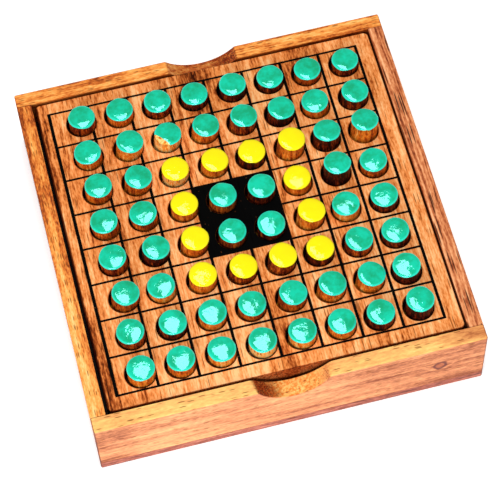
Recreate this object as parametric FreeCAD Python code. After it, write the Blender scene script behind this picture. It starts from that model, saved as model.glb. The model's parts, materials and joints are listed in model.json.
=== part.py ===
"""Two-colour peg board game: a shallow wooden box whose lid is a drilled 8 by 8 playing board.

Millimetres. The origin is the middle of the box's underside, +X is to the player's right, +Y away
from the player and +Z up. Pegs are named by column letter, a to h from the left, and by row number,
1 to 8 from the far side.
"""
import FreeCAD, Part
import math
import os

V = FreeCAD.Vector
UP = V(0, 0, 1)

# ---- the box -------------------------------------------------------------------------------------
outer_x = 172.0
outer_y = 172.5
box_height = 38.0
base_thick = 5.0
side_rail_thick = 6.6
end_rail_thick = 6.8
corner_round = 0.8          # upright outside corners
top_edge_round = 0.5        # outside top edge of the rails, rubbed down by hand
base_edge_round = 0.4
seam_vee = 0.3              # fine vee that shows where the rails meet the base

# ---- the finger notches in the middle of the front and rear rails --------------------------------
# The front one is worn: wide and soft at the rail's inside face, narrower and deeper outside.
notch_centre_x = 1.0        # both are cut a little to the right of the middle
front_notch_inside = {"width": 38.0, "depth": 8.0, "shoulder": 5.0}
front_notch_outside = {"width": 33.5, "depth": 10.4, "shoulder": 2.0}
rear_notch_inside = {"width": 33.5, "depth": 7.4, "shoulder": 1.2}
rear_notch_outside = {"width": 33.5, "depth": 7.4, "shoulder": 1.2}

# ---- the board that lies in the box --------------------------------------------------------------
board_gap = 1.1             # play between the board's edge and the rails when it lies in the middle
board_push_x = 0.3          # where it lies within that play
board_push_y = 0.5
board_recess = 1.5          # the board's face lies this far below the rails' top
board_thick = 14.0
board_corner_round = 2.2
board_edge_round = 0.6
ledge_width = 5.0           # strips inside the rails that carry the board

# ---- the holes -----------------------------------------------------------------------------------
rows = 8
columns = 8
hole_pitch_x = 17.5
hole_pitch_y = 18.3
hole_centre_x = 1.0         # the drilled pattern is a little off the board's middle
hole_centre_y = 0.0
column_slew = 0.2           # each row further from the far side sits this much more to the left
hole_wander = 0.35          # a hand-drilled hole is off its mark by this much
hole_depth = 10.0
hole_rim_ease = 0.3
drill_overrun = 1.0         # the drill starts this far above the board's face

# ---- the pegs ------------------------------------------------------------------------------------
peg_diameter = 12.0
peg_hole_play = 0.95        # gap all round a peg that stands in the middle of its hole
peg_wall_gap = 0.3          # a peg that leans stays this far from the wall of its hole
peg_end_ease = 0.5
peg_foot_gap = 0.05
peg_drift = V(0.5, -0.25, 0)    # the box was tipped, so the pegs all rest towards one side
foot_drift_share = 0.3      # a leaning peg's foot drifts this share of what its mouth end does
peg_lean_step = 0.45

# how far a peg stands above the board: low, middling, high or tall
peg_stand = {"l": 4.8, "m": 5.5, "h": 6.3, "t": 7.9}
stand_map = (
    "hmmlmlll",
    "mhmmhmmh",
    "hmmlmtht",
    "hmmmmmtm",
    "hmmllhmm",
    "mlhlhmmm",
    "mlmlmmmh",
    "hhmmmmmt",
)
# which way each hole wandered and its peg leans: e, w, n (away from the player), s; . is neither
lean_side = {".": V(0, 0, 0), "e": V(1, 0, 0), "w": V(-1, 0, 0), "n": V(0, 1, 0), "s": V(0, -1, 0)}
lean_map = (
    "...w..se",
    "weeeeew.",
    ".e.e.enn",
    "ww...wnw",
    "wee.seww",
    "ew.ee..w",
    "w...eeew",
    "wwneee.n",
)
row_groups = {1: "pegs_rear_row", 8: "pegs_front_row"}     # rows whose pegs share one node

# ---- worked out from the sizes above -------------------------------------------------------------
inner_x = outer_x - 2 * side_rail_thick
inner_y = outer_y - 2 * end_rail_thick
board_x = inner_x - 2 * board_gap
board_y = inner_y - 2 * board_gap
board_middle = V(board_push_x, board_push_y, 0)
board_top = box_height - board_recess
board_under = board_top - board_thick
hole_floor = board_top - hole_depth
hole_radius = peg_diameter / 2 + peg_hole_play


def block(size_x, size_y, z_low, z_high, centre_x=0.0, centre_y=0.0):
    """A box standing on z_low, centred on (centre_x, centre_y)."""
    corner = V(centre_x - size_x / 2, centre_y - size_y / 2, z_low)
    return Part.makeBox(size_x, size_y, z_high - z_low, corner)


def edges_where(solid, test):
    """The solid's edges whose middle point passes the test."""
    return [e for e in solid.Edges if test(e.valueAt((e.FirstParameter + e.LastParameter) / 2), e)]


def near(a, b):
    return abs(a - b) < 1e-4


def upright(edge):
    """True for a straight edge that runs along Z."""
    ends = [v.Point for v in edge.Vertexes]
    return len(ends) == 2 and near(ends[0].x, ends[1].x) and near(ends[0].y, ends[1].y)


def notch_outline(y, width, depth, shoulder):
    """The notch's outline at one y, closed well above the rail.

    The bottom is one arc, and each end turns over into the rail's top by a smaller arc that is
    tangent to both, so the two radii add up to the value that the width and depth fix.
    """
    half = width / 2
    both_radii = (half ** 2 + depth ** 2) / (2 * depth)
    bottom_radius = both_radii - shoulder
    bottom_centre = V(notch_centre_x, y, box_height + bottom_radius - depth)

    def on_arc(centre, radius, angle):
        return centre + V(math.sin(angle), 0, -math.cos(angle)) * radius

    meet = math.asin(half / both_radii)
    points = {}
    for side in (-1, 1):
        end_x = notch_centre_x + side * half
        shoulder_centre = V(end_x, y, box_height - shoulder)
        points[side] = {
            "meet": on_arc(bottom_centre, bottom_radius, side * meet),
            "mid": on_arc(shoulder_centre, shoulder, math.pi + side * meet / 2),
            "top": V(end_x, y, box_height),
            "above": V(end_x, y, box_height + depth),
        }
    left, right = points[-1], points[1]
    low = on_arc(bottom_centre, bottom_radius, 0)
    return Part.Wire([
        Part.Arc(left["top"], left["mid"], left["meet"]).toShape(),
        Part.Arc(left["meet"], low, right["meet"]).toShape(),
        Part.Arc(right["meet"], right["mid"], right["top"]).toShape(),
        Part.LineSegment(right["top"], right["above"]).toShape(),
        Part.LineSegment(right["above"], left["above"]).toShape(),
        Part.LineSegment(left["above"], left["top"]).toShape(),
    ])


def notch_cutter(outward, inside, outside):
    """A bar that cuts the notch through an end rail, from its inside outline to its outside one."""
    overrun = 0.25          # the bar sticks out past both faces by this share of the rail
    outlines = []
    for share in (-overrun, 1 + overrun):
        y = outward * (inner_y / 2 + share * end_rail_thick)
        size = {key: inside[key] + share * (outside[key] - inside[key]) for key in inside}
        outlines.append(notch_outline(y, **size))
    return Part.makeLoft(outlines, True, True)


def end_rail(outward, inside, outside):
    """Front (outward -1) or rear (+1) rail: full width, notched, outside edges eased."""
    middle_y = outward * (outer_y - end_rail_thick) / 2
    face_y = outward * outer_y / 2
    rail = block(outer_x, end_rail_thick, base_thick, box_height, 0, middle_y)
    corners = edges_where(rail, lambda p, e: upright(e) and near(p.y, face_y))
    rail = rail.makeFillet(corner_round, corners)
    rail = rail.cut(notch_cutter(outward, inside, outside))
    inside_y = outward * inner_y / 2
    foot = edges_where(rail, lambda p, e: near(p.z, base_thick) and not near(p.y, inside_y))
    rail = rail.makeChamfer(seam_vee, foot)
    mid_height = (base_thick + box_height) / 2

    def outside_top(p, e):
        on_face = near(p.y, face_y) and p.z > mid_height
        on_corner = near(p.z, box_height) and abs(p.x) > outer_x / 2 - corner_round
        return (on_face and not upright(e)) or (on_corner and abs(p.y) > inner_y / 2 + 1e-3)

    return rail.makeFillet(top_edge_round, edges_where(rail, outside_top))


def side_rail(side):
    """Left (side -1) or right (+1) rail, butted between the end rails."""
    middle_x = side * (outer_x - side_rail_thick) / 2
    rail = block(side_rail_thick, inner_y, base_thick, box_height, middle_x, 0)
    face_x = side * outer_x / 2
    foot = edges_where(rail, lambda p, e: near(p.z, base_thick) and near(p.x, face_x))
    rail = rail.makeChamfer(seam_vee, foot)
    top = edges_where(rail, lambda p, e: near(p.z, box_height) and near(p.x, face_x))
    return rail.makeFillet(top_edge_round, top)


def base_panel():
    """The flat panel glued under the rails."""
    panel = block(outer_x, outer_y, 0, base_thick)
    panel = panel.makeFillet(corner_round, edges_where(panel, lambda p, e: upright(e)))
    return panel.makeFillet(base_edge_round, edges_where(panel, lambda p, e: near(p.z, 0)))


def end_ledge(outward):
    """Strip along the front or rear rail, from the base up to the board's underside."""
    middle_y = outward * (inner_y - ledge_width) / 2
    return block(inner_x, ledge_width, base_thick, board_under, 0, middle_y)


def side_ledge(side):
    """Strip along a side rail, between the two end ledges."""
    middle_x = side * (inner_x - ledge_width) / 2
    return block(ledge_width, inner_y - 2 * ledge_width, base_thick, board_under, middle_x, 0)


def lean_at(row, column):
    return lean_side[lean_map[row][column]]


def hole_centre(row, column):
    """Centre of a hole's mouth. Row and column count from 0 at the far left."""
    rows_on = row - (rows - 1) / 2
    columns_on = column - (columns - 1) / 2
    x = hole_centre_x + columns_on * hole_pitch_x - rows_on * column_slew
    y = hole_centre_y - rows_on * hole_pitch_y
    return board_middle + V(x, y, board_top) + lean_at(row, column) * hole_wander


def peg_board():
    """The playing board: blind flat-bottomed holes with eased rims."""
    board = block(board_x, board_y, board_under, board_top, board_middle.x, board_middle.y)
    board = board.makeFillet(board_corner_round, edges_where(board, lambda p, e: upright(e)))
    rim = edges_where(board, lambda p, e: near(p.z, board_top) or near(p.z, board_under))
    board = board.makeFillet(board_edge_round, rim)
    drills = []
    for row in range(rows):
        for column in range(columns):
            mouth = hole_centre(row, column)
            floor = V(mouth.x, mouth.y, hole_floor)
            drills.append(Part.makeCylinder(hole_radius, hole_depth + drill_overrun, floor, UP))
            rim_foot = V(mouth.x, mouth.y, board_top - hole_rim_ease)
            cone = hole_rim_ease + drill_overrun
            drills.append(Part.makeCone(hole_radius, hole_radius + cone, cone, rim_foot, UP))
    return board.cut(drills)


def within_play(shift):
    """The shift, shortened if the peg would come nearer to the hole's wall than it may."""
    most = peg_hole_play - peg_wall_gap
    return shift * min(1.0, most / max(shift.Length, 1e-9))


def peg_axis(row, column):
    """Where a peg's foot is centred and which way the peg points."""
    stands_straight = row + 1 in row_groups
    lean = V(0, 0, 0) if stands_straight else lean_at(row, column) * peg_lean_step
    foot_share = 1.0 if stands_straight else foot_drift_share
    mouth = within_play(peg_drift + lean)
    foot = within_play(peg_drift * foot_share - lean)
    points_to = mouth - foot + UP * hole_depth
    points_to.normalize()
    tilt = math.acos(min(1.0, points_to.z))
    lift = peg_foot_gap + math.sin(tilt) * peg_diameter / 2
    centre = hole_centre(row, column)
    return V(centre.x, centre.y, hole_floor + lift) + foot, points_to


def peg(row, column):
    """One peg: a length of dowel with both ends eased."""
    foot, points_to = peg_axis(row, column)
    length = hole_depth + peg_stand[stand_map[row][column]]
    dowel = Part.makeCylinder(peg_diameter / 2, length, foot, points_to)
    return dowel.makeChamfer(peg_end_ease, [e for e in dowel.Edges if e.Closed])


def peg_name(row, column):
    return "peg_" + "abcdefgh"[column] + str(row + 1)


def build():
    """Every node's name and shape."""
    nodes = {
        "base_panel": base_panel(),
        "front_rail": end_rail(-1, front_notch_inside, front_notch_outside),
        "rear_rail": end_rail(1, rear_notch_inside, rear_notch_outside),
        "left_rail": side_rail(-1),
        "right_rail": side_rail(1),
        "front_ledge": end_ledge(-1),
        "rear_ledge": end_ledge(1),
        "left_ledge": side_ledge(-1),
        "right_ledge": side_ledge(1),
        "peg_board": peg_board(),
    }
    for row in range(rows):
        pegs = [peg(row, column) for column in range(columns)]
        if row + 1 in row_groups:
            nodes[row_groups[row + 1]] = Part.makeCompound(pegs)
        else:
            for column, dowel in enumerate(pegs):
                nodes[peg_name(row, column)] = dowel
    return nodes


os.makedirs("parts", exist_ok=True)
for name, shape in build().items():
    shape.exportStep("parts/" + name + ".step")
print("board", round(board_x, 2), "by", round(board_y, 2), "by", board_thick)
print("hole", round(2 * hole_radius, 2), "across,", hole_depth, "deep")
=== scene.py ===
# %% [markdown]
# # A drilled peg board in its wooden box
#
# The object is a board game for two: a shallow box of oiled hardwood, and in it a board with
# sixty-four drilled holes. Each hole holds a short dowel that is dipped in green paint at one end
# and in yellow at the other, so that turning a peg over changes its owner. The box and the board
# come from a CAD model and keep its meshes, because their shapes are already right. What they lack
# is a finish, so most of this lesson is about wood, printed lines and thick glossy paint.

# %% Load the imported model
import json
import math

import bmesh
import bpy
from mathutils import Matrix, Vector, noise


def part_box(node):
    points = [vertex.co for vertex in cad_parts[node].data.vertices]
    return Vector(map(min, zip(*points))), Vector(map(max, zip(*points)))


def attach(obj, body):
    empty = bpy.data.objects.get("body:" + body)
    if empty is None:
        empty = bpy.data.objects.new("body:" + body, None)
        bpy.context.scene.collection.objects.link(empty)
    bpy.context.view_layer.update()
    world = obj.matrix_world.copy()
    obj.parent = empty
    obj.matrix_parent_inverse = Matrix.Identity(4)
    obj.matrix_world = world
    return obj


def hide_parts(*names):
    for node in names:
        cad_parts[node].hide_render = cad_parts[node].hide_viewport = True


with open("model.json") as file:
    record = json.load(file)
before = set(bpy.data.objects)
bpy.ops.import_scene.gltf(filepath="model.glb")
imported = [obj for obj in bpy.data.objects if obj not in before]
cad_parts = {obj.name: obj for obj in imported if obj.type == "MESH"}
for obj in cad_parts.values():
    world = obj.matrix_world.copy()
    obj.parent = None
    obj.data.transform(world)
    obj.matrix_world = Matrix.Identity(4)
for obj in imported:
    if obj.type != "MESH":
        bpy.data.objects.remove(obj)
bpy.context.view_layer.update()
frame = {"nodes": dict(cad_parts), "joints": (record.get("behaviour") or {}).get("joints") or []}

nodes = frame["nodes"]
MM = 0.001

# %% [markdown]
# ## Where the camera stands
#
# A box this small is usually pictured from above and a little to one side, with a long lens that
# keeps its edges nearly parallel. A camera in Blender looks along its own -Z, so it is enough to
# give the point it aims at, the direction back from there, and how far the camera leans over.

# %% The camera
aim = Vector((-0.9, -13.3, 36.5)) * MM
back = Vector((-0.0952, -0.4664, 0.8795)).normalized()
camera_distance = 0.938
camera_lean = math.radians(-2.99)

lens = bpy.data.cameras.new("camera")
lens.lens = 155.1
lens.sensor_width = 36.0
camera = bpy.data.objects.new("camera", lens)
camera.rotation_mode = "QUATERNION"
camera.location = aim + back * camera_distance
level = (-back).to_track_quat("-Z", "Y")
lean = Matrix.Rotation(camera_lean, 4, "Z").to_quaternion()
camera.rotation_quaternion = level @ lean
bpy.context.collection.objects.link(camera)
bpy.context.scene.camera = camera
bpy.context.scene.view_settings.view_transform = "Standard"
print("camera at", [round(x, 3) for x in camera.location])

# %% [markdown]
# ## The light
#
# Soft light from a long panel overhead models the peg tops: each top is a shallow dome, and the
# panel shows as a pale patch where the dome turns towards the camera. A second panel in front
# keeps the front rail bright. The world is a dim even white that opens up the shadows.

# %% Two soft panels and a pale surround
def soft_panel(name, at, size, power):
    """An area light at a point in metres, turned to face the middle of the box."""
    data = bpy.data.lights.new(name, "AREA")
    data.shape = "RECTANGLE"
    data.size, data.size_y = size
    data.energy = power
    panel = bpy.data.objects.new(name, data)
    panel.location = at
    panel.rotation_mode = "QUATERNION"
    towards = Vector((0, 0, 0.02)) - Vector(at)
    panel.rotation_quaternion = towards.to_track_quat("-Z", "Y")
    bpy.context.collection.objects.link(panel)
    return panel


soft_panel("overhead_panel", (0.0, 0.0, 0.85), (0.27, 0.74), 4.4)
soft_panel("front_panel", (-0.45, -1.00, 0.55), (0.9, 0.5), 10.0)

SURROUND = 0.34         # strength of the even white all round
world = bpy.data.worlds.new("studio")
world.use_nodes = True
background = world.node_tree.nodes["Background"]
background.inputs["Color"].default_value = (1.0, 1.0, 1.0, 1.0)
background.inputs["Strength"].default_value = SURROUND
bpy.context.scene.world = world

# %% [markdown]
# ## Arithmetic for materials
#
# A material in Blender is a graph of nodes. Written out node by node, even a simple formula takes
# a page, so a small class wraps one output of a node: `a * b + 1` on such wires adds the Math
# nodes that work it out. Every other kind of node comes from the method `node`.

# %% A wire class
class Wire:
    """One output of a material's nodes. Arithmetic on wires adds Math nodes."""

    def __init__(self, tree, socket=None):
        self.tree = tree
        self.socket = socket

    def node(self, kind, settings, sockets, output=0):
        """Adds a node: first its settings, then its sockets' values or links."""
        made = self.tree.nodes.new("ShaderNode" + kind)
        for name, value in settings.items():
            if name == "stops":
                set_stops(made.color_ramp, value)
            else:
                setattr(made, name, value)
        for key, value in sockets.items():
            if isinstance(value, Wire):
                self.tree.links.new(value.socket, made.inputs[key])
            else:
                made.inputs[key].default_value = value
        return Wire(self.tree, made.outputs[output])

    def maths(self, operation, *values):
        """Adds a Math node that works on wires and numbers."""
        return self.node("Math", {"operation": operation}, dict(enumerate(values)))

    def __add__(self, other):
        return self.maths("ADD", self, other)

    __radd__ = __add__

    def __sub__(self, other):
        return self.maths("SUBTRACT", self, other)

    def __rsub__(self, other):
        return self.maths("SUBTRACT", other, self)

    def __mul__(self, other):
        return self.maths("MULTIPLY", self, other)

    __rmul__ = __mul__

    def __truediv__(self, other):
        return self.maths("DIVIDE", self, other)

    def __abs__(self):
        return self.maths("ABSOLUTE", self)

    def root(self):
        return self.maths("SQRT", self)

    def larger(self, other):
        return self.maths("MAXIMUM", self, other)

    def nearest_whole(self):
        return self.maths("ROUND", self)

    def fade(self, start, end):
        """0 at start, 1 at end, and a smooth step between, whichever of the two is larger."""
        low, high = min(start, end), max(start, end)
        settings = {"interpolation_type": "SMOOTHSTEP"}
        step = self.node("MapRange", settings, {0: self, 1: low, 2: high})
        return step if end > start else 1 - step

    def stretched(self, along, across):
        """A position, scaled along the grain (X) and across it (Y and Z)."""
        scale = (along, across, across)
        return self.node("VectorMath", {"operation": "MULTIPLY"}, {0: self, 1: scale})

    def parts(self):
        """A position's or a colour's three numbers."""
        return [self.node("SeparateXYZ", {}, {0: self}, i) for i in range(3)]

    def parts_in_mm(self):
        """A position's three numbers, turned from metres into millimetres."""
        return [part / MM for part in self.parts()]

    def facing(self):
        """The three numbers of the direction in which the surface faces."""
        return self.node("NewGeometry", {}, {}, "Normal").parts()

    def cloud(self, scale, detail=2.0, rough=0.5):
        """Smooth noise from 0 to 1 at a position."""
        sockets = {"Vector": self, "Scale": scale, "Detail": detail, "Roughness": rough}
        return self.node("TexNoise", {}, sockets)

    def bands(self, scale, detail=2.0, rough=0.5):
        """Noise along one number, which makes bands of uneven width."""
        sockets = {"W": self * scale, "Scale": 1.0, "Detail": detail, "Roughness": rough}
        return self.node("TexNoise", {"noise_dimensions": "1D"}, sockets)

    def ramp(self, stops):
        """A colour for each value: (value, (red, green, blue)) in rising order."""
        return self.node("ValToRGB", {"stops": stops}, {0: self})

    def tint(self, mask, other, blend="MIX"):
        """This colour, with another laid over it where the mask is 1."""
        settings = {"data_type": "RGBA", "blend_type": blend, "clamp_factor": True}
        if not isinstance(other, Wire):
            other = (*other, 1.0)
        return self.node("Mix", settings, {0: mask, 6: self, 7: other}, 2)


print("wire class ready")

# %% Helpers that make and finish a material
def set_stops(ramp, stops):
    """Gives a colour ramp its stops."""
    while len(ramp.elements) < len(stops):
        ramp.elements.new(0.5)
    for element, (value, colour) in zip(ramp.elements, stops):
        element.position = value
        element.color = (*colour, 1.0)


def new_material(name):
    """A new material, the wire of its position in metres, and its surface node."""
    material = bpy.data.materials.new(name)
    material.use_nodes = True
    tree = material.node_tree
    place = Wire(tree).node("TexCoord", {}, {}, "Object")
    return material, place, tree.nodes["Principled BSDF"]


def finish_surface(surface, colour, roughness, height, bump_mm):
    """Links what varies over the surface: its colour, its roughness and its relief."""
    tree = colour.tree
    tree.links.new(colour.socket, surface.inputs["Base Color"])
    tree.links.new(roughness.socket, surface.inputs["Roughness"])
    relief = height.node("Bump", {}, {"Height": height, "Distance": bump_mm * MM, "Strength": 1.0})
    tree.links.new(relief.socket, surface.inputs["Normal"])


print("material helpers ready")

# %% [markdown]
# ## Wood
#
# Wood is a solid pattern, so the pattern is worked out in the piece's own volume and every face
# cuts through it, as a saw does. The grain runs along X in these formulas, and a Mapping node turns
# each piece's length onto X. Growth rings are bands of the distance from the tree's middle, bent by
# slow noise. On top of them lie five noises, each stretched along the grain, from broad bands down
# to grit. Pores are stretched cells, so they show as short dashes along the grain and as dots on
# end grain, which also drinks more oil and goes darker. A look is a dictionary that says how much
# of each a piece has.

# %% Growth rings, pores and grain
WOOD_RELIEF_MM = 0.09
GRAIN_TURN = {
    "X": (0.0, 0.0, 0.0),
    "Y": (0.0, 0.0, -math.pi / 2),
    "Z": (0.0, math.pi / 2, 0.0),
}
# Each noise: how fast it changes along and across the grain, its detail and its roughness.
GRAIN_NOISES = {
    "fibre": ((0.05, 1.3), 4.0, 0.6),
    "streak": ((0.018, 0.42), 3.0, 0.6),
    "broad": ((0.012, 0.06), 2.0, 0.5),
    "mottle": ((0.16, 0.62), 3.0, 0.7),
    "grit": ((0.55, 1.5), 1.0, 0.5),
}


def growth_rings(place, at, look):
    """Bands of the distance from the tree's middle, which also flow round a knot."""
    bend = at.stretched(0.012, 0.05).cloud(1.0, 2.0) - 0.5
    along, across, deep = at.parts()
    pith_y, pith_z = look["pith"]
    off_y = across - pith_y + along * look["run_out"]
    off_z = deep - pith_z
    ring_at = (off_y * off_y + off_z * off_z).root() + bend * look["bend"]
    if "knot" in look:
        ring_at = ring_at + look["knot"](place).fade(3.2, 0.8) * 4.0
    return ring_at.bands(look["rings"], 3.0)


def open_pores(at, look):
    """1 in the pores: the middles of some of a field of long thin cells."""
    length, width = look["pore"]
    cells = at.stretched(1 / length, 1 / width)
    settings, sockets = {"feature": "F1"}, {"Vector": cells, "Scale": 1.0}
    near = cells.node("TexVoronoi", settings, sockets)
    lot = cells.node("TexVoronoi", settings, sockets, 1).parts()[0]
    least = 1 - look["pore_share"]
    chosen = lot.fade(least - 0.02, least + 0.02)
    return near.fade(0.46, 0.24) * chosen


def wood(place, grain, shift, look):
    """Tone from 0 (dark) to 1 (pale), fibre, pores, and end grain of wood at a place in metres."""
    sockets = {"Vector": place, "Location": shift, "Rotation": GRAIN_TURN[grain]}
    sockets["Scale"] = (1 / MM,) * 3
    at = place.node("Mapping", {}, sockets)
    tone = 0.5 + (growth_rings(place, at, look) - 0.5) * look["ring_depth"]
    noises = {}
    for kind, (stretch, detail, rough) in GRAIN_NOISES.items():
        noises[kind] = at.stretched(*stretch).cloud(1.0, detail, rough)
        tone = tone + (noises[kind] - 0.5) * look[kind + "_depth"]
    ends = abs(place.facing()["XYZ".index(grain)]).fade(0.12, 0.60)
    if "end_keep" in look:
        ends = ends * look["end_keep"](place)
    return tone, noises["fibre"], open_pores(at, look), ends


print("noises in the grain:", ", ".join(GRAIN_NOISES))

# %% [markdown]
# ## Colour from tone
#
# The recipe so far gives a tone from dark to pale, and a palette turns it into a colour. Real sticks
# also change slowly from one end or side to the other, and the boundary between sapwood and dark
# heartwood can wander through a piece. Drifts and dark patches move the tone before it is turned
# into a colour, so the grain stays visible inside them, which a layer of paint on top would hide.

# %% Slow changes of tone
def drift(place, axis, stops):
    """A slow change of tone along an axis: (millimetres, change from -0.5 to 0.5)."""
    start, span = stops[0][0], stops[-1][0] - stops[0][0]
    wander = (place.cloud(14.0, 2.0) - 0.5) * 0.12 * span
    spot = (place.parts()[axis] / MM + wander - start) / span
    greys = [((x - start) / span, (v + 0.5,) * 3) for x, v in stops]
    return spot.ramp(greys).parts()[0] - 0.5


def dark_patches(place, grain, patches):
    """How much darker dark heartwood makes a place: patches of (x, y), half sizes and depth."""
    x, y = place.parts_in_mm()[:2]
    slow = [0.15 if axis == grain else 1.0 for axis in "XYZ"]
    wander = place.node("Mapping", {}, {"Vector": place, "Scale": slow}).cloud(110.0, 3.0) - 0.5
    wander_x, wander_y = (2.0, 0.6) if grain == "Y" else (0.6, 2.0)
    darker = 0.0
    for (at_x, at_y), (half_x, half_y), depth in patches:
        off_x = abs((x - at_x) / half_x + wander * wander_x)
        off_y = abs((y - at_y) / half_y + wander * wander_y)
        darker = darker + off_x.fade(1.0, 0.3) * off_y.fade(1.0, 0.5) * depth
    return darker


print("drifts and dark patches ready")

# %% The colour and the whole finish
INK = (0.001, 0.001, 0.001)
KNOT_HEART = (0.80, 0.52, 0.55)
KNOT_RING = (0.12, 0.024, 0.022)


def wood_colour(place, grain, tone, pores, ends, look):
    """Wood colour from tone, darker end grain and pores, and painted light on upward faces."""
    # painted light: faces that look upwards can be made paler and yellower than the sides, where the
    # light falls on them
    top_light_mask = place.facing()[2].fade(0.3, 0.8)
    for axis, stops in look["drifts"]:
        tone = tone + drift(place, axis, stops)
    if "dark_places" in look:
        tone = tone - dark_patches(place, grain, look["dark_places"])
    if "painted_top_lift" in look:
        tone = tone + top_light_mask * look["painted_top_lift"]
    colour = tone.ramp(look["tones"])
    if "painted_top_tint" in look:
        colour = colour.tint(top_light_mask, look["painted_top_tint"], "MULTIPLY")
    speckle = place.cloud(1300.0, 2.0, 0.7).fade(0.46, 0.56)
    end_colour = colour.tint(1.0, look["end_colour"], "MULTIPLY")
    end_colour = end_colour.tint(speckle * 0.8, look["end_dark"])
    colour = colour.tint(ends, end_colour)
    return colour.tint(pores * look["pore_depth"], look["pore_colour"])


def wood_material(name, grain, shift, look):
    """An oiled wood finish. A look's print, notch, knot and gap go on top, in that order."""
    material, place, surface = new_material(name)
    tone, fibre, pores, ends = wood(place, grain, shift, look)
    colour = wood_colour(place, grain, tone, pores, ends, look)
    roughness = 0.62 - fibre * 0.2 + pores * 0.15
    if "print" in look:
        ink = look["print"](place)
        colour = colour.tint(ink, INK)
        roughness = roughness + ink * 0.15
    if "notch" in look:
        colour = colour.tint(look["notch"](place), look["notch_tint"], "MULTIPLY")
    if "knot" in look:
        away = look["knot"](place)
        colour = colour.tint(away.fade(1.6, 0.7) * 0.45, KNOT_HEART, "MULTIPLY")
        colour = colour.tint(abs(away - 0.88).fade(0.36, 0.06) * 0.85, KNOT_RING)
    # painted shade in the gap round the board and in the holes, with the side rails' dark glue lines
    if "gap" in look:
        colour = colour.tint(look["gap"](place), look["gap_tint"], "MULTIPLY")
    surface.inputs["IOR"].default_value = 1.45
    surface.inputs["Specular IOR Level"].default_value = look["gloss"]
    finish_surface(surface, colour, roughness, fibre * 0.5 - pores, WOOD_RELIEF_MM)
    return material


def finish_node(name, material):
    """Puts a material on every slot of a CAD node."""
    for slot in nodes[name].material_slots:
        slot.material = material


print("wood finish ready")

# %% The common look and the palettes
common = {
    "gloss": 0.16, "drifts": [],
    # the rings: where the tree's middle lies in the two directions across the grain, how far they
    # bend, how much they slant along the piece, and how many there are to a millimetre
    "pith": (14.0, -30.0), "bend": 9.0, "run_out": 0.0, "rings": 0.35, "ring_depth": 0.9,
    # how strongly each noise moves the tone
    "fibre_depth": 0.55, "streak_depth": 0.7, "broad_depth": 0.8, "mottle_depth": 1.3,
    "grit_depth": 0.7,
    # the pores: their length and width in millimetres, and the share of the cells that are open
    "pore": (4.5, 0.62), "pore_share": 0.22, "pore_depth": 0.75,
    "pore_colour": (0.22, 0.055, 0.008),
    # what end grain and the shade in a gap do to the colour
    "end_colour": (0.75, 0.52, 0.40), "end_dark": (0.07, 0.014, 0.004),
    "gap_tint": (0.24, 0.13, 0.08),
}
GOLDEN = [
    (0.0, (0.22, 0.035, 0.003)), (0.25, (0.62, 0.14, 0.016)), (0.5, (0.88, 0.31, 0.055)),
    (0.75, (0.98, 0.45, 0.11)), (1.0, (1.0, 0.62, 0.22)),
]
HONEY = [
    (0.0, (0.28, 0.065, 0.022)), (0.25, (0.62, 0.215, 0.088)), (0.5, (0.83, 0.37, 0.158)),
    (0.75, (0.95, 0.54, 0.22)), (1.0, (1.0, 0.70, 0.33)),
]
RUSSET = [
    (0.0, (0.09, 0.014, 0.003)), (0.25, (0.32, 0.066, 0.016)), (0.5, (0.58, 0.17, 0.056)),
    (0.75, (0.80, 0.31, 0.12)), (1.0, (0.95, 0.46, 0.22)),
]
ROSE = [(0.0, (0.12, 0.03, 0.02)), (0.5, (0.43, 0.12, 0.078)), (1.0, (0.72, 0.29, 0.19))]
PLANK = [
    (0.0, (0.045, 0.006, 0.001)), (0.25, (0.33, 0.065, 0.010)), (0.5, (0.74, 0.22, 0.048)),
    (0.75, (0.92, 0.36, 0.115)), (1.0, (1.0, 0.54, 0.23)),
]
print("palettes ready: golden, honey, russet, rose and plank")

# %% [markdown]
# ## The rails, the base and the ledges
#
# The four rails were cut from different sticks, and it shows: the left one is golden with short
# dark pores, the right one browner with long dark lines, the rear one orange. The front rail is the
# palest, with a small knot in its outer face. The end rails run the full width and the side rails
# are butted between them, so the grain turns a corner at each joint. Three more things are laid
# over the wood. The finger notches were sawn across the grain, so their cut faces drank more oil.
# Each butt joint has a dark glue line. The gap round the board is too narrow for light to get in
# between the rails and the board, so the faces beside it are darkened, down to the ledges only:
# when the board is lifted out, the rest of the box is as bright as it should be.

# %% The dark gap and the glue lines
left_rail_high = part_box("left_rail")[1] / MM
inner_x = -left_rail_high.x     # half the inside width of the box
inner_y = left_rail_high.y      # half the inside length
rail_top = left_rail_high.z
ledge_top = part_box("left_ledge")[1].z / MM
GAP_SHADE = 2.0         # width of the strip of painted shade on the ledges, under the gap round the board


def rail_gap(place):
    """1 on the rails' inside faces, between their top edge and the ledges, for painted shade."""
    x, y, z = place.parts_in_mm()
    inside = abs(x).fade(inner_x + 0.12, inner_x + 0.02)
    inside = inside * abs(y).fade(inner_y + 0.12, inner_y + 0.02)
    return inside * z.fade(rail_top - 0.1, rail_top - 1.2) * z.fade(ledge_top - 0.5, ledge_top)


def side_rail_gap(place):
    """The same painted shade, with the dark glue line at both ends of a side rail."""
    y = place.parts_in_mm()[1]
    return rail_gap(place).larger(abs(y).fade(inner_y - 0.45, inner_y - 0.15) * 0.75)


def under_the_gap(place):
    """1 on the strip of ledge that shows round the board, where hardly any light gets in."""
    x, y = place.parts_in_mm()[:2]
    along_sides = abs(x).fade(inner_x - GAP_SHADE - 0.6, inner_x - GAP_SHADE)
    along_ends = abs(y).fade(inner_y - GAP_SHADE - 0.6, inner_y - GAP_SHADE)
    return along_sides.larger(along_ends)


print("inside of the box in mm:", round(2 * inner_x, 1), "by", round(2 * inner_y, 1))

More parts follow.
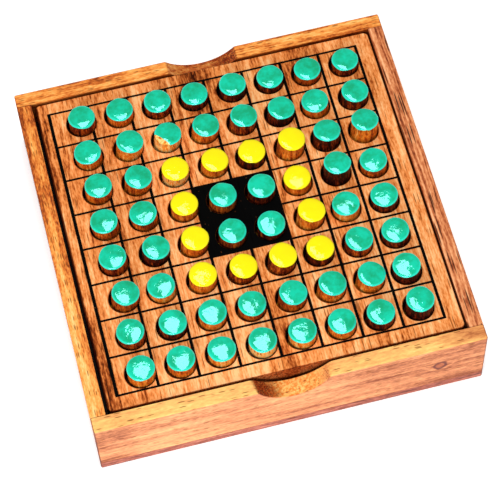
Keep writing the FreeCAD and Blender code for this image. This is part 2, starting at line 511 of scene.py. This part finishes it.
# %% The notches' cut faces and the knot
NOTCH_HALF = 26.0       # a little more than half a notch's width
KNOT_X, KNOT_Z = 65.6, 22.0
KNOT_HALF_X, KNOT_HALF_Z = 2.9, 3.3
KNOT_DEPTH_Y = -82.5    # the knot goes in to here, about the middle of the rail


def in_notch(place):
    """1 on the cut faces of the finger notches, which are lower than the rails' top."""
    x, _, z = place.parts_in_mm()
    below_top = z.fade(rail_top - 0.25, rail_top - 0.9)
    speckle = place.cloud(800.0, 3.0, 0.7).fade(0.38, 0.60)
    cut = below_top * place.facing()[2].fade(0.15, 0.35)
    cut = cut * abs(x).fade(NOTCH_HALF + 4, NOTCH_HALF)
    return cut * (speckle * 0.65 + 0.35)


def front_notch(place):
    """The front notch is paler on its right flank."""
    return in_notch(place) * (1 - place.parts_in_mm()[0].fade(8.0, 16.0) * 0.6)


def rear_notch(place):
    """The rear notch is paler on its left flank."""
    return in_notch(place) * (1 - place.parts_in_mm()[0].fade(-4.0, -12.0) * 0.6)


def dark_to_the_left(place):
    """Keeps the dark end grain to the notch's left flank and to the right end of the rail."""
    x = place.parts_in_mm()[0]
    return x.fade(14.0, -4.0).larger(x.fade(60.0, 70.0))


def dark_to_the_right(place):
    """Keeps it strongest on the notch's right flank and at the left end of the rail."""
    x = place.parts_in_mm()[0]
    return (x.fade(-6.0, 8.0) * 0.7 + 0.3).larger(x.fade(-60.0, -70.0))


def knot(place):
    """Distance from the middle of the front rail's knot: 1 on its ring. It only shows outside."""
    x, y, z = place.parts_in_mm()
    off_x, off_z = (x - KNOT_X) / KNOT_HALF_X, (z - KNOT_Z) / KNOT_HALF_Z
    inwards = y.fade(KNOT_DEPTH_Y, KNOT_DEPTH_Y + 3.5)
    ragged = (place.cloud(350.0, 2.0) - 0.5) * 0.55
    return (off_x * off_x + off_z * off_z).root() + ragged + inwards * 9.0


print("knot at x", KNOT_X, "and z", KNOT_Z)

# %% Rail, base and ledge materials
front_look = {
    # the top face is paler and yellower than the outer face: painted light from above
    **common, "tones": HONEY, "painted_top_tint": (1.0, 1.0, 0.70), "painted_top_lift": 0.38,
    "pore_share": 0.18, "ring_depth": 0.7, "pith": (30.0, -50.0), "rings": 0.22,
    "broad_depth": 1.2, "streak_depth": 0.5, "fibre_depth": 0.4, "gap": rail_gap, "knot": knot,
    "mottle_depth": 0.7, "grit_depth": 0.4,
    "end_colour": (0.50, 0.27, 0.18), "end_keep": dark_to_the_left,
    "notch": front_notch, "notch_tint": (0.76, 0.33, 0.13),
    "drifts": [(0, [(-86.0, -0.10), (-55.0, 0.03), (0.0, -0.17), (50.0, -0.27), (86.0, -0.30)])],
    "dark_places": [((-84.0, -83.0), (20.0, 12.0), 0.20), ((84.0, -82.0), (22.0, 3.0), 0.30)],
}
rear_look = {
    **common, "tones": GOLDEN, "pith": (-20.0, 60.0), "ring_depth": 1.2, "gap": rail_gap,
    "streak_depth": 1.2, "end_keep": dark_to_the_right,
    "notch": rear_notch, "notch_tint": (0.62, 0.36, 0.30),
    "drifts": [(0, [(-86.0, -0.04), (86.0, -0.06)])],
}
left_look = {
    **common, "tones": GOLDEN, "pore_share": 0.32, "pith": (60.0, 10.0),
    "gap": side_rail_gap, "gap_tint": (0.12, 0.07, 0.05),
    "drifts": [(1, [(-86.0, 0.03), (0.0, 0.02), (50.0, -0.02), (86.0, -0.04)])],
    "dark_places": [((-88.0, 86.0), (6.5, 120.0), 0.42), ((-84.0, 90.0), (8.0, 30.0), 0.20)],
}
right_look = {
    **common, "tones": RUSSET, "pith": (-40.0, 25.0), "rings": 0.9, "ring_depth": 1.2,
    "pore": (17.0, 0.95), "pore_share": 0.34, "pore_depth": 0.95,
    "pore_colour": (0.06, 0.012, 0.004), "mottle_depth": 1.0, "streak_depth": 1.2,
    "gap": side_rail_gap, "drifts": [(1, [(-86.0, 0.28), (0.0, 0.02), (86.0, 0.06)])],
}
base_look = {**common, "tones": ROSE, "pith": (10.0, -90.0)}
finish_node("front_rail", wood_material("front_rail_wood", "X", (11.0, 3.0, 7.0), front_look))
finish_node("rear_rail", wood_material("rear_rail_wood", "X", (240.0, 31.0, 5.0), rear_look))
finish_node("left_rail", wood_material("left_rail_wood", "Y", (-410.0, 9.0, 2.0), left_look))
finish_node("right_rail", wood_material("right_rail_wood", "Y", (777.0, -14.0, 9.0), right_look))
finish_node("base_panel", wood_material("base_wood", "X", (-90.0, 60.0, 44.0), base_look))
ledge_look = {**base_look, "gap": under_the_gap, "gap_tint": (0.02, 0.01, 0.01)}
ledge_wood = wood_material("ledge_wood", "X", (900.0, 60.0, 44.0), ledge_look)
for side in ("front", "rear", "left", "right"):
    finish_node(side + "_ledge", ledge_wood)
print("rails finished")

# %% [markdown]
# ## The board
#
# The board is a wider plank with its grain running front to back, from dark brown at its left edge
# through pale orange to a pinkish brown. A grid of eight by eight squares is printed on it in thick
# black ink, with the four middle squares solid black. Ink printed on open-grained wood has slightly
# furred edges and skips a few pores, so the line's mask is roughened by noise.

# %% The printed grid
board_low, board_high = (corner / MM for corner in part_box("peg_board"))
board_middle = (board_low + board_high) / 2
board_top = board_high.z
board_half = (board_high.x - board_low.x) / 2
grid_middle = board_middle + Vector((-1.0, 0.2, 0))
SQUARE = 18.0
GRID_HALF = 4 * SQUARE
LINE_X, LINE_Y = 1.35, 1.05     # thickness of the lines that are counted along X and along Y
LEFT_LINE_EXTRA = 0.14          # the line at the left is thicker by this on each side


def within(distance, reach):
    """1 as far as a reach and about half a line's thickness beyond it."""
    return distance.fade(reach + 0.6, reach + 0.4)


def grid_line(distance, other, thick, fray):
    """1 on the lines at whole squares of one distance, as far as the grid reaches in the other."""
    off = abs(distance - (distance / SQUARE).nearest_whole() * SQUARE) + fray
    inside = distance.fade(GRID_HALF + thick, GRID_HALF + thick * 0.6)
    ends = within(other, GRID_HALF)
    return off.fade(thick / 2 + 0.08, thick / 2 - 0.08) * inside * ends


def print_grid(place):
    """1 on the printed lines and on the four black squares of the board's top face."""
    fray = (place.cloud(2200.0, 3.0, 0.7) - 0.5) * 0.5
    wander = (place.cloud(60.0, 1.0) - 0.5) * 0.25
    x, y, z = place.parts_in_mm()
    across = abs(x - grid_middle.x + wander)
    upward = abs(y - grid_middle.y + wander)
    wider = x.fade(2 - GRID_HALF, -2 - GRID_HALF) * LEFT_LINE_EXTRA
    lines = grid_line(across, upward, LINE_X, fray - wider)
    lines = lines.larger(grid_line(upward, across, LINE_Y, fray))
    middle = within(across + fray * 0.5, SQUARE) * within(upward + fray * 0.5, SQUARE)
    skips = place.cloud(700.0, 2.0, 0.6).fade(0.24, 0.30)
    on_top = z.fade(board_top - 0.5, board_top - 0.2)
    return lines.larger(middle) * on_top * (0.85 + skips * 0.15)


print("printed grid:", round(2 * GRID_HALF), "mm each way")

# %% The board's wood
def board_gap(place):
    """Painted shade, 1 in the holes and down the board's edges and in the left rail's shadow."""
    x, y, z = place.parts_in_mm()
    off_x = x - board_middle.x
    in_holes = z.fade(board_top - 0.25, board_top - 0.9)
    for off in (abs(off_x), abs(y - board_middle.y)):
        in_holes = in_holes * off.fade(board_half - 0.2, board_half - 0.6)
    down_edge = abs(off_x).fade(board_half - 0.45, board_half - 0.1)
    down_edge = down_edge * z.fade(rail_top - 1.8, rail_top - 2.6)
    # the left rail's painted shadow, on a strip along the board's left edge
    left_edge = (0 - off_x).fade(board_half - 1.1, board_half - 0.5)
    return in_holes.larger(down_edge).larger(left_edge)


board_look = {
    **common, "tones": PLANK, "gloss": 0.03, "print": print_grid,
    "pith": (-26.0, -60.0), "rings": 0.8, "bend": 14.0, "run_out": 0.10, "ring_depth": 0.8,
    "fibre_depth": 0.7, "grit_depth": 0.55, "pore": (9.0, 0.7), "pore_share": 0.15,
    "end_colour": (0.45, 0.24, 0.16), "gap": board_gap, "gap_tint": (0.10, 0.045, 0.03),
    "dark_places": [
        ((-78.5, -74.0), (8.0, 62.0), 0.42), ((-62.0, -79.0), (14.0, 9.0), 0.14),
        ((3.0, -78.0), (4.5, 34.0), 0.34), ((-2.0, 74.0), (13.0, 26.0), 0.22),
        ((42.0, 76.0), (9.0, 26.0), 0.22), ((-72.0, 30.0), (10.0, 50.0), 0.14),
        ((48.0, -76.0), (12.0, 20.0), 0.06),
    ],
    "drifts": [
        (0, [
            (-79.0, 0.10), (-70.0, 0.04), (-60.0, 0.04), (-44.0, 0.12), (-27.0, 0.24),
            (-12.0, 0.18), (-2.0, 0.05), (4.0, 0.05), (10.0, 0.09), (30.0, 0.13), (60.0, 0.16),
            (79.0, 0.18),
        ]),
        (1, [(-79.0, 0.12), (79.0, -0.05)]),
    ],
}
finish_node("peg_board", wood_material("board_wood", "Y", (20.0, 5.0, 3.0), board_look))
print("board finished:", round(2 * board_half, 1), "mm wide")

# %% [markdown]
# ## The pegs
#
# Each peg is a length of dowel, and each end was dipped in enamel that pulled itself into a shallow,
# slightly lumpy dome with a soft edge. A cylinder would look like plastic. So one profile, from the
# middle of one end to the middle of the other, is spun round the axis, and the painted ends are
# then pushed about a little with noise. Faces near the ends take the paint and the rest is wood.
# A peg's place is measured from the CAD node that it replaces, and its lean is its joint's axis.

# %% Where each peg stands
PEG_RADIUS = 6.0
END_EASE = 0.5
COLUMNS = "abcdefgh"
axes = {j["child"]: Vector(j["axis"]) for j in frame["joints"]}


def stands(node, count):
    """Foot point, axis and length of each of the pegs in a CAD node, in millimetres."""
    low, high = (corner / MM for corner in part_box(node))
    axis = axes[node].normalized()
    tilt = math.acos(min(1.0, axis.z))
    reach = (PEG_RADIUS - END_EASE) * math.sin(tilt)
    pitch = (high.x - low.x - 2 * PEG_RADIUS) / max(count - 1, 1)
    points = [v.co / MM for v in nodes[node].data.vertices]
    found = []
    for k in range(count):
        middle = low.x + PEG_RADIUS + k * pitch
        own = [p for p in points if count == 1 or abs(p.x - middle) < pitch / 2]
        small = Vector([min(p[i] for p in own) for i in range(3)])
        large = Vector([max(p[i] for p in own) for i in range(3)])
        length = (large.z - small.z - 2 * reach) / axis.z
        found.append(((small + large) / 2 - axis * length / 2, axis, length))
    return found


pegs = {}
for row, node in ((1, "pegs_rear_row"), (8, "pegs_front_row")):
    for column, place in zip(COLUMNS, stands(node, 8)):
        pegs[column + str(row)] = (node, *place)
for row in range(2, 8):
    for column in COLUMNS:
        node = "peg_" + column + str(row)
        pegs[column + str(row)] = (node, *stands(node, 1)[0])
print("pegs placed:", len(pegs), " lengths", round(min(p[3] for p in pegs.values()), 2),
      "to", round(max(p[3] for p in pegs.values()), 2))

# %% [markdown]
# ## Paint and dowel finishes
#
# The enamel is opaque and wet-looking: a strong colour under a mirror gloss. The gloss is tinted
# towards the paint's own colour, as the highlights on the real pegs are, and a slow ripple in its
# relief breaks the highlights up. The dowels were cut from many sticks, from cream to nearly black,
# so each peg's mesh carries one number, its dowel tone, and a single wood material reads it as an
# attribute. A second attribute is 1 on the rim of a painted end, where a painted reflection makes
# the enamel paler.

# %% Enamel and dowel materials
RIPPLE_MM = 0.10
DOWEL_RELIEF_MM = 0.08


def enamel(name, body, thin, rim_reflection, gleam):
    """Glossy dipped enamel: paler in patches, and palest on the rim from a painted reflection."""
    material, place, surface = new_material(name)
    patch = place.cloud(160.0, 2.0, 0.5)
    patch = patch + (place.cloud(600.0, 2.0, 0.6) - 0.5) * 0.5
    colour = patch.ramp([(0.32, body), (0.68, thin)])
    # painted reflection: the bright surround, painted as a paler colour on the rim of each end
    rim = place.node("Attribute", {"attribute_name": "rim"}, {}, 2)
    colour = colour.tint(rim * 0.8, rim_reflection)
    roughness = 0.03 + place.cloud(900.0, 2.0) * 0.04
    ripple = place.cloud(330.0, 2.0, 0.5) * 1.15 + place.cloud(1000.0, 2.0) * 0.26
    surface.inputs["IOR"].default_value = 1.62
    surface.inputs["Specular IOR Level"].default_value = 1.0
    surface.inputs["Specular Tint"].default_value = (*gleam, 1.0)
    finish_surface(surface, colour, roughness, ripple, RIPPLE_MM)
    return material


green = enamel("green_enamel", (0.0, 0.40, 0.17), (0.0, 0.64, 0.38), (0.02, 0.88, 0.66),
               (0.36, 1.0, 1.0))
yellow = enamel("yellow_enamel", (1.0, 0.82, 0.0), (1.0, 0.86, 0.0), (1.0, 0.90, 0.01),
                (0.6, 0.6, 0.25))

dowel_look = {
    **common, "pith": (3.0, 3.0), "rings": 0.9, "ring_depth": 0.35, "fibre_depth": 0.45,
    "streak_depth": 0.8, "broad_depth": 0.25, "mottle_depth": 1.0, "grit_depth": 0.6,
    "pore": (4.0, 0.6), "pore_share": 0.16,
    "tones": [
        (0.0, (0.016, 0.002, 0.001)), (0.25, (0.15, 0.016, 0.003)), (0.45, (0.46, 0.085, 0.008)),
        (0.65, (0.80, 0.19, 0.012)), (0.85, (1.0, 0.38, 0.050)), (1.0, (1.0, 0.62, 0.21)),
    ],
}


def dowel_material():
    """Dowel wood, whose tone comes from each peg's own mesh."""
    material, place, surface = new_material("dowel_wood")
    tone, fibre, pores, _ = wood(place, "Z", (0.0, 0.0, 0.0), dowel_look)
    own = place.node("Attribute", {"attribute_name": "dowel_tone"}, {}, 2)
    colour = (tone - 0.5 + own).ramp(dowel_look["tones"])
    colour = colour.tint(pores * 0.7, (0.04, 0.01, 0.004))
    surface.inputs["Specular IOR Level"].default_value = 0.12
    roughness = 0.6 - fibre * 0.15
    finish_surface(surface, colour, roughness, fibre * 0.5 - pores, DOWEL_RELIEF_MM)
    return material


dowel = dowel_material()
print("enamel and dowel ready")

# %% [markdown]
# ## Spinning the pegs
#
# The profile gives the paint a thickness of its own, so its lower edge is a small step on the
# dowel, and that edge is pulled up and down by noise as a dipped edge is. Each peg is spun upright,
# then tipped onto its own axis and moved to its place. On one peg the dip missed a side, so a plane
# cuts the paint's faces there, and those beyond it become wood.

# %% The outline of a peg, and which peg is which
YELLOW_UP = {"c3", "d3", "e3", "f3", "c4", "f4", "c5", "f5", "c6", "d6", "e6", "f6"}
DOWEL_TONES = {"c": 0.93, "p": 0.79, "o": 0.63, "b": 0.47, "r": 0.35, "d": 0.20, "k": 0.08}
# Each peg's dowel, one string for each row from the rear: cream, pale, orange, brown, reddish,
# dark and nearly black (k).
DOWEL_MAP = (
    "rordkdbd",
    "opcorkod",
    "bocodoko",
    "bbobdokb",
    "rkordopd",
    "bporrkrd",
    "rdobbook",
    "oopcpodk",
)
BARE_EDGE = "c2"        # the dip missed one side of this peg
SEGMENTS = 48
PAINT = 0.10            # how far the paint stands out from the dowel
DIP = 1.15              # how far the paint comes down the side
DOME = 0.5              # vertices nearer to the end than this are its top, the others its lip
GLINT_START, GLINT_FULL = 5.3, 5.8      # distances from the axis where the painted reflection on the rim is 0 and 1
# The outline of one end: (distance from the axis, distance from the end), from its middle.
end_profile = (
    (0.0, 0.0), (0.7, 0.0), (1.5, 0.01), (2.4, 0.03), (3.2, 0.07), (3.9, 0.13), (4.5, 0.20),
    (5.0, 0.29), (5.4, 0.41), (5.72, 0.57), (5.93, 0.78), (PEG_RADIUS + PAINT, DIP - 0.12),
    (PEG_RADIUS + PAINT * 0.8, DIP), (PEG_RADIUS, DIP + 0.03),
)
print("points in each end's outline:", len(end_profile), " yellow pegs:", len(YELLOW_UP))

# %% The paint's uneven edge
def bare_patch(mesh, length):
    """Cuts the paint off one side of the upper end, where the dip missed it."""
    side = Vector((-0.70, -0.60, 0.38)).normalized()
    start = Vector((-2.9, -2.6, length))
    everything = mesh.verts[:] + mesh.edges[:] + mesh.faces[:]
    bmesh.ops.bisect_plane(mesh, geom=everything, plane_co=start, plane_no=side)
    for face in mesh.faces:
        if (face.calc_center_median() - start).dot(side) > 0 and face.material_index == 1:
            face.material_index = 0


def push_paint(vert, foot, length):
    """Makes the paint a little lumpy on top and uneven along its lip. foot seeds the noise."""
    down = min(vert.co.z, length - vert.co.z)
    outward = Vector((vert.co.x, vert.co.y, 0))
    around = outward.normalized()
    is_upper = vert.co.z > length / 2
    sign = 1 if is_upper else -1
    seed = foot + Vector((0, 0, 31 if is_upper else 0))
    lump = noise.noise(outward * 0.30 + seed) * 0.07
    drip = noise.noise(around * 1.6 + seed) * 0.6 + noise.noise(around * 5.0 + seed) * 0.35
    if down < DOME:
        vert.co.z += sign * lump
    elif down < DIP + 0.1:
        vert.co.z += sign * drip * min(1.0, (down - 0.45) / 0.7)


print("paint stands out", PAINT, "mm and comes down", DIP, "mm")

# %% One peg
def make_peg(name, foot, axis, length, tone, upper, lower):
    """A dipped dowel, spun upright and then set on its axis. upper and lower are its paints."""
    mesh = bmesh.new()
    profile = list(end_profile)
    profile += [(PEG_RADIUS, length / 2)]
    profile += [(radius, length - down) for radius, down in reversed(end_profile)]
    line = [mesh.verts.new((radius, 0, height)) for radius, height in profile]
    edges = [mesh.edges.new(pair) for pair in zip(line, line[1:])]
    bmesh.ops.spin(mesh, geom=line + edges, cent=(0, 0, 0), axis=(0, 0, 1), angle=2 * math.pi,
                   steps=SEGMENTS, use_merge=True)
    bmesh.ops.remove_doubles(mesh, verts=mesh.verts, dist=1e-4)
    bmesh.ops.recalc_face_normals(mesh, faces=mesh.faces)
    for face in mesh.faces:
        middle = face.calc_center_median()
        face.smooth = True
        face.material_index = 0
        if middle.z > length - DIP - 0.02:
            face.material_index = 1
        elif middle.z < DIP + 0.02:
            face.material_index = 2
    if name.endswith(BARE_EDGE):
        bare_patch(mesh, length)
    for vert in mesh.verts:
        push_paint(vert, foot, length)
    # where the rim's painted reflection lies: 0 inside, rising to 1 towards the edge of each end
    rim_glints = [(v.co.xy.length - GLINT_START) / (GLINT_FULL - GLINT_START) for v in mesh.verts]
    rim_glints = [min(1.0, max(0.0, rim)) for rim in rim_glints]
    turn = Vector((0, 0, 1)).rotation_difference(axis).to_matrix().to_4x4()
    mesh.transform(Matrix.Translation(foot) @ turn)
    mesh.transform(Matrix.Scale(MM, 4))
    data = bpy.data.meshes.new(name)
    mesh.to_mesh(data)
    mesh.free()
    for attribute, values in (("dowel_tone", [tone] * len(rim_glints)), ("rim", rim_glints)):
        data.attributes.new(attribute, "FLOAT", "POINT").data.foreach_set("value", values)
    for material in (dowel, upper, lower):
        data.materials.append(material)
    piece = bpy.data.objects.new(name, data)
    bpy.context.collection.objects.link(piece)
    return piece


print("each peg is spun in", SEGMENTS, "steps")

# %% Build the sixty-four pegs
for place, (node, foot, axis, length) in pegs.items():
    column, row = COLUMNS.index(place[0]), int(place[1]) - 1
    tone = DOWEL_TONES[DOWEL_MAP[row][column]]
    is_yellow = place in YELLOW_UP
    ends = (yellow, green) if is_yellow else (green, yellow)
    piece = make_peg("dipped_peg_" + place, foot, axis, length, tone, *ends)
    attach(piece, node)
    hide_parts(node)
print("pegs made:", len(pegs), "with", len(piece.data.polygons), "faces each")

# %% [markdown]
# ## The floor
#
# A plain white sheet, wide enough to fill every view. It glows a little, so that it stays white
# where the panels don't reach.

# %% The floor
def white_sheet():
    """A square sheet, which glows as strongly as the surround."""
    mesh = bmesh.new()
    bmesh.ops.create_grid(mesh, x_segments=1, y_segments=1, size=6.0)
    data = bpy.data.meshes.new("floor")
    mesh.to_mesh(data)
    mesh.free()
    material, _, surface = new_material("white_sheet")
    surface.inputs["Base Color"].default_value = (0.95, 0.95, 0.95, 1.0)
    surface.inputs["Roughness"].default_value = 0.9
    surface.inputs["Emission Color"].default_value = (1.0, 1.0, 1.0, 1.0)
    surface.inputs["Emission Strength"].default_value = SURROUND
    data.materials.append(material)
    floor = bpy.data.objects.new("floor", data)
    bpy.context.collection.objects.link(floor)
    return floor


white_sheet()
print("floor laid")
